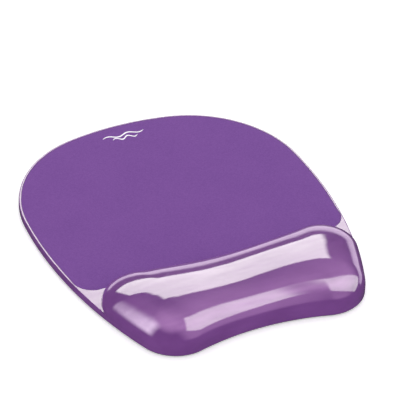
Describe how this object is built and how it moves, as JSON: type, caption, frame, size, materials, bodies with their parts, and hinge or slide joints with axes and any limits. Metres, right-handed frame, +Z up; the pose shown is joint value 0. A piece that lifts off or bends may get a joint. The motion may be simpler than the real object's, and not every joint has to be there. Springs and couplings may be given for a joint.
{
  "type": "mouse pad with gel wrist rest",
  "caption": "Oval mouse pad with a raised, glossy gel wrist rest along its front edge, a flush woven tracking surface and a non-slip underside.",
  "frame": {"origin": "middle of the footprint's bounding box, on the desk", "axes": "+X to the user's right, +Y to the back edge, away from the wrist, +Z up"},
  "size_m": [0.201, 0.235, 0.0252],
  "materials": {
    "backing": "fine textured non-slip",
    "adhesive": "tacky film",
    "tray": "glossy moulded soft polyurethane",
    "gel": "soft translucent gel",
    "film": "glossy stretched film",
    "cloth": "fine matt weave",
    "ink": "matt print"
  },
  "bodies": {
    "root": {"nonslip_backing": "backing", "backing_adhesive": "adhesive", "base_tray": "tray", "gel_core": "gel", "gel_cover": "film", "surface_adhesive": "adhesive", "tracking_surface": "cloth", "printed_mark": "ink"}
  },
  "joints": []
}
